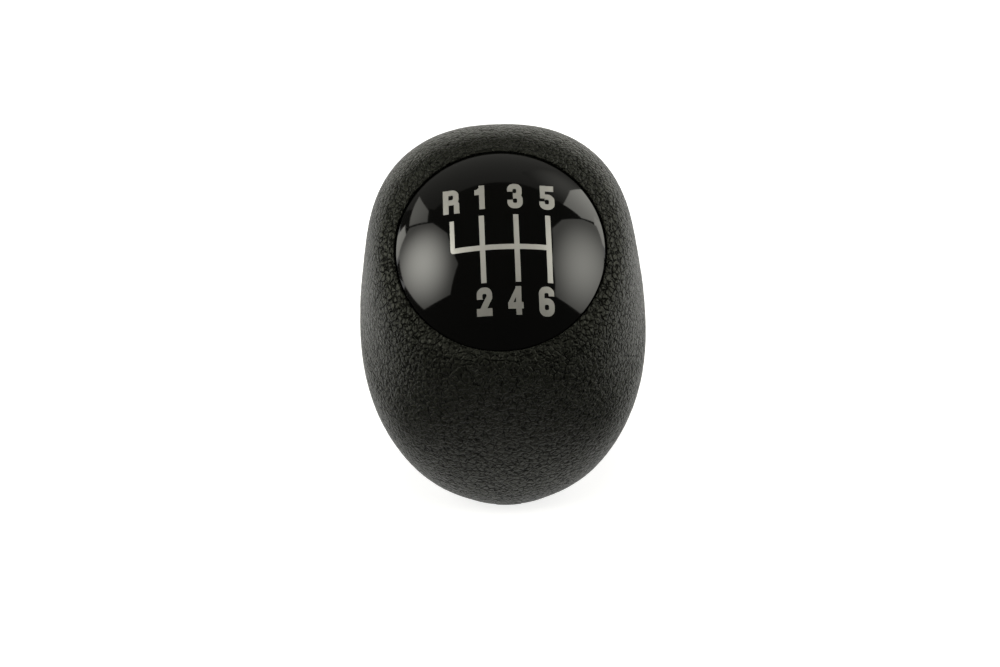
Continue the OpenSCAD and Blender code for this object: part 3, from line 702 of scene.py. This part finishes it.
def silver_material():
    """Silver of the marks, with a painted highlight that makes the gate lines a little brighter than
    the numbers.
    """
    n = Nodes("silver_marks")
    grain = n.noise(0.25, 2.0, 0.6)
    place = n.add("ShaderNodeTexCoord")
    along = n.add("ShaderNodeVectorMath", operation="DOT_PRODUCT")
    n.link(place.outputs["Object"], along.inputs[0])
    along.inputs[1].default_value = (0, *CAP_UP)
    gate_mid = (float(CAP_MID @ CAP_UP) - GATE_DROP) * MM
    off = n.combine("ABSOLUTE", n.combine("SUBTRACT", along.outputs["Value"], gate_mid), 0.0)
    gate = n.combine("LESS_THAN", off, GATE_HALF * MM)
    marks = n.blend(grain, MARK_DARK, MARK_LIGHT)
    # Painted highlight: the gate lines get a lighter silver, standing in for the side lamps' light on
    # them
    lines = n.blend(grain, GATE_HIGHLIGHT_DARK, GATE_HIGHLIGHT_LIGHT)
    n.link(n.blend(gate, marks, lines), n.shader.inputs["Base Color"])
    n.link(n.spread(grain, 0.3, 0.7, 0.38, 0.48), n.shader.inputs["Roughness"])
    n.link(n.bump(grain, 0.3, 0.01), n.shader.inputs["Normal"])
    set_shader(n, Metallic=0.5, IOR=1.5, Coat_Weight=1.0, Coat_Roughness=0.06)
    return n.material


def plastic_material(name, low, high, grain_size, roughness):
    """Moulded, rubber or foam surface between two greys, with a grain of the given size."""
    n = Nodes(name)
    grain = n.noise(grain_size, 3.0)
    n.link(n.blend(grain, low, high), n.shader.inputs["Base Color"])
    n.link(n.spread(grain, 0.3, 0.7, roughness - ROUGH_SPAN, roughness + ROUGH_SPAN),
           n.shader.inputs["Roughness"])
    n.link(n.bump(grain, 0.4, 0.03), n.shader.inputs["Normal"])
    return n.material


def steel_material(name, roughness):
    """Bright steel with turning marks round its axis."""
    n = Nodes(name)
    wave = n.add("ShaderNodeTexWave", wave_type="BANDS", bands_direction="Z", Scale=1.0,
                 Distortion=2.0)
    n.link(n.place(1.2), wave.inputs["Vector"])
    n.link(n.blend(wave.outputs["Fac"], STEEL_DARK, STEEL_LIGHT), n.shader.inputs["Base Color"])
    n.link(n.spread(n.noise(0.8), 0.3, 0.7, roughness - ROUGH_SPAN, roughness + ROUGH_SPAN),
           n.shader.inputs["Roughness"])
    n.link(n.bump(wave.outputs["Fac"], 0.25, 0.01), n.shader.inputs["Normal"])
    set_shader(n, Metallic=1.0)
    return n.material


def dress(node, material):
    """Gives a carried-over solid its material, with flat faces."""
    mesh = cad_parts[node].data
    if not mesh.materials:
        mesh.materials.append(material)
    for k in range(len(mesh.materials)):
        mesh.materials[k] = material
    mesh.polygons.foreach_set("use_smooth", [False] * len(mesh.polygons))


def make_camera():
    """Camera at the place, roll and shift that were fitted to the photograph."""
    back = Vector((0, -math.cos(VIEW_ELEVATION), math.sin(VIEW_ELEVATION)))
    data = bpy.data.cameras.new("view")
    data.lens = VIEW_LENS
    data.sensor_width = 36.0
    data.shift_x = VIEW_SHIFT_X
    data.clip_start = 0.01
    camera = bpy.data.objects.new("view", data)
    bpy.context.scene.collection.objects.link(camera)
    aim = back.to_track_quat("Z", "Y").to_matrix().to_4x4()
    turn = Matrix.Rotation(-VIEW_ROLL, 4, "Z")
    camera.matrix_world = Matrix.Translation(VIEW_TARGET + back * VIEW_DISTANCE) @ aim @ turn
    bpy.context.scene.camera = camera


def place_towards(azimuth, elevation, distance):
    """Matrix of a plane square to a direction from the knob: azimuth 0 behind, 90 to its right."""
    a, e = math.radians(azimuth), math.radians(elevation)
    out = Vector((math.sin(a) * math.cos(e), math.cos(a) * math.cos(e), math.sin(e)))
    side = Vector((0, 0, 1)).cross(out).normalized()
    top = out.cross(side)
    turn = Matrix((side, top, out)).transposed().to_4x4()
    return Matrix.Translation(VIEW_TARGET + out * distance * MM) @ turn


def light_rays(tree):
    """One for camera, glossy and transmission rays, and zero for all others."""
    path = tree.nodes.new("ShaderNodeLightPath")
    total = path.outputs["Is Camera Ray"]
    for name in ("Is Glossy Ray", "Is Transmission Ray"):
        joined = tree.nodes.new("ShaderNodeMath")
        joined.operation = "MAXIMUM"
        tree.links.new(total, joined.inputs[0])
        tree.links.new(path.outputs[name], joined.inputs[1])
        total = joined.outputs["Value"]
    return total


def glowing(name, strength, edge_strength=None, reach=1.0):
    """Material that glows by strength at its own origin, and by edge_strength from reach on."""
    material = bpy.data.materials.new(name)
    material.use_nodes = True
    tree = material.node_tree
    tree.nodes.clear()
    output = tree.nodes.new("ShaderNodeOutputMaterial")
    glow = tree.nodes.new("ShaderNodeEmission")
    coordinate = tree.nodes.new("ShaderNodeTexCoord")
    length = tree.nodes.new("ShaderNodeVectorMath")
    length.operation = "LENGTH"
    fall = tree.nodes.new("ShaderNodeMapRange")
    fall.interpolation_type = "SMOOTHSTEP"
    edge = strength if edge_strength is None else edge_strength
    glow.inputs["Color"].default_value = LAMP_COLOUR
    for key, value in (("From Min", 0.0), ("From Max", reach), ("To Min", strength),
                       ("To Max", edge)):
        fall.inputs[key].default_value = value
    tree.links.new(coordinate.outputs["Object"], length.inputs[0])
    tree.links.new(length.outputs["Value"], fall.inputs["Value"])
    tree.links.new(fall.outputs["Result"], glow.inputs["Strength"])
    tree.links.new(glow.outputs["Emission"], output.inputs["Surface"])
    return material


def softbox(name, azimuth, elevation, distance, corners, strength, edge_strength,
            middle=(0, 0), reach=None, mirrored=True):
    """Flat lamp with the given corners across and up in its own plane. Its light falls off from the
    middle to the reach, and mirrored says whether glossy surfaces show it."""
    mesh = bpy.data.meshes.new(name)
    mesh.from_pydata([((x - middle[0]) * MM, (y - middle[1]) * MM, 0) for x, y in corners], [],
                     [list(range(len(corners)))])
    lamp = add_object(name, mesh)
    shift = Matrix.Translation((middle[0] * MM, middle[1] * MM, 0))
    lamp.matrix_world = place_towards(azimuth, elevation, distance) @ shift
    lamp.visible_camera = False
    lamp.visible_glossy = mirrored
    if reach is None:
        reach = max(math.hypot(x, y) for x, y in corners)
    mesh.materials.append(glowing(name, strength, edge_strength, reach * MM))


def disc(name, radius, height, hole=0.0, sweep=(0, 360), steps=96):
    """Flat disc, or the sector of a ring, parallel to the floor."""
    start, end = sweep
    a = [math.radians(start + (end - start) * k / steps) for k in range(steps + 1)]
    outer = [(radius * math.cos(b), radius * math.sin(b), height) for b in a]
    if hole:
        points = outer + [(hole * math.cos(b), hole * math.sin(b), height) for b in a]
        first = len(outer)
        faces = [[k, k + 1, first + k + 1, first + k] for k in range(steps)]
    else:
        points, faces = outer[:-1], [list(range(steps))]
    mesh = bpy.data.meshes.new(name)
    mesh.from_pydata([[c * MM for c in p] for p in points], [], faces)
    piece = add_object(name, mesh)
    return piece


def make_floor():
    """Pale round floor that keeps the knob's soft shadow and is white elsewhere."""
    floor = disc("floor", FLOOR_R, 0)
    n = Nodes("floor")
    tree = n.tree
    place = n.add("ShaderNodeTexCoord")
    length = n.add("ShaderNodeVectorMath", operation="LENGTH")
    n.link(place.outputs["Object"], length.inputs[0])
    white = n.spread(length.outputs["Value"], FLOOR_SHADE_R * MM, FLOOR_WHITE_R * MM, 0.8, 1.0)
    n.link(n.combine("MULTIPLY", white, light_rays(tree)), n.shader.inputs["Emission Strength"])
    n.shader.inputs["Emission Color"].default_value = (1, 1, 1, 1)
    paper = n.blend(n.noise(60.0), PAPER_DARK, PAPER_LIGHT)
    path = n.add("ShaderNodeLightPath")
    # Light that bounces meets a darker floor, which keeps the underside of the grip dark
    far = n.spread(length.outputs["Value"], CARD_NEAR_R * MM, CARD_FAR_R * MM, 0.0, 1.0)
    card = n.blend(far, CARD_NEAR, CARD_FAR)
    n.link(n.blend(path.outputs["Is Diffuse Ray"], paper, card), n.shader.inputs["Base Color"])
    set_shader(n, Specular_IOR_Level=0.0, Roughness=1.0)
    floor.data.materials.append(n.material)


def make_flags():
    """Dark card in front and dark tent with a low window behind, which keep the black cap black."""
    card = disc("floor_card", FLOOR_CARD_R, FLOOR_CARD_Z, hole=FLOOR_CARD_HOLE, sweep=(180, 360))
    card.data.materials.append(glowing("floor_card", TENT_GLOW))
    mesh = bpy.data.meshes.new("tent")
    ball = bmesh.new()
    bmesh.ops.create_uvsphere(ball, u_segments=72, v_segments=60, radius=TENT_R * MM)
    middles = [(f, f.calc_center_median() / MM) for f in ball.faces]
    window = [f for f, m in middles if m.y > TENT_WINDOW_BACK and abs(m.z) < TENT_WINDOW_HEIGHT]
    bmesh.ops.delete(ball, geom=window, context="FACES")
    ball.to_mesh(mesh)
    ball.free()
    mesh.materials.append(glowing("tent", TENT_GLOW))
    tent = add_object("tent", mesh)
    for flag in (card, tent):
        flag.visible_camera = False
        flag.visible_shadow = False
        flag.visible_diffuse = False


def make_world():
    """White to the camera and in reflections, and a dim room for everything else."""
    world = bpy.data.worlds.new("studio")
    world.use_nodes = True
    bpy.context.scene.world = world
    tree = world.node_tree
    mix = tree.nodes.new("ShaderNodeMix")
    mix.data_type = "RGBA"
    dim, white = colours(mix.inputs)
    dim.default_value = (ROOM_GLOW, ROOM_GLOW, ROOM_GLOW, 1)
    white.default_value = (1, 1, 1, 1)
    tree.links.new(light_rays(tree), mix.inputs["Factor"])
    tree.links.new(colours(mix.outputs)[0], tree.nodes["Background"].inputs["Color"])


def make_lights():
    """Softboxes and bright cards: direction, distance, corners, glow in the middle and outside."""
    softbox("lamp_left", -104, 5, 150, LEFT_BOX, 5.0, 0.6, middle=(10, 52), reach=95)
    softbox("lamp_right", 97, 0, 140, RIGHT_BOX, 3.4, 0.7, middle=(-27, 50), reach=100)
    softbox("lamp_back_left", -60, 28, 800, BACK_LEFT_BOX, 1.0, 0.8)
    softbox("lamp_back_right", 50, 26, 800, BACK_RIGHT_BOX, 1.8, 1.5)
    softbox("lamp_low_left", -67, 9, 500, LOW_BACK_BOX, 2.2, 2.0)
    softbox("lamp_low_right", 64, 9, 500, LOW_BACK_BOX, 2.2, 2.0)
    softbox("lamp_fill", 180, 70, 700, FILL, 3.5, 3.5, mirrored=False)
    softbox("backdrop", 0, 42, 900, BACKDROP, 0.17, 0.12)
    softbox("backdrop_right", 42, 36, 850, BACKDROP_RIGHT, 0.4, 0.12)
    softbox("backdrop_low", 0, 7, 900, BACKDROP_LOW, 2.0, 1.9)


make_camera()
make_world()
make_floor()
make_flags()
make_lights()

grip_skin().data.materials.append(leather_material())
cap_gloss().data.materials.append(gloss_material())
pattern_foil().data.materials.append(silver_material())

core_plastic = plastic_material("core_plastic", CORE_DARK, CORE_LIGHT, 0.8, 0.55)
dress("core_lower", core_plastic)
dress("core_upper", core_plastic)
dress("neck_ring", plastic_material("neck_plastic", NECK_DARK, NECK_LIGHT, 0.5, 0.5))
dress("lever_sleeve", steel_material("turned_steel", 0.3))
dress("retaining_clip", steel_material("spring_wire", 0.22))
dress("lever_buffer", plastic_material("rubber", RUBBER_DARK, RUBBER_LIGHT, 0.4, 0.8))
dress("cap_pad", plastic_material("pad_foam", FOAM_DARK, FOAM_LIGHT, 0.3, 0.9))

bpy.context.scene.view_settings.view_transform = "Standard"
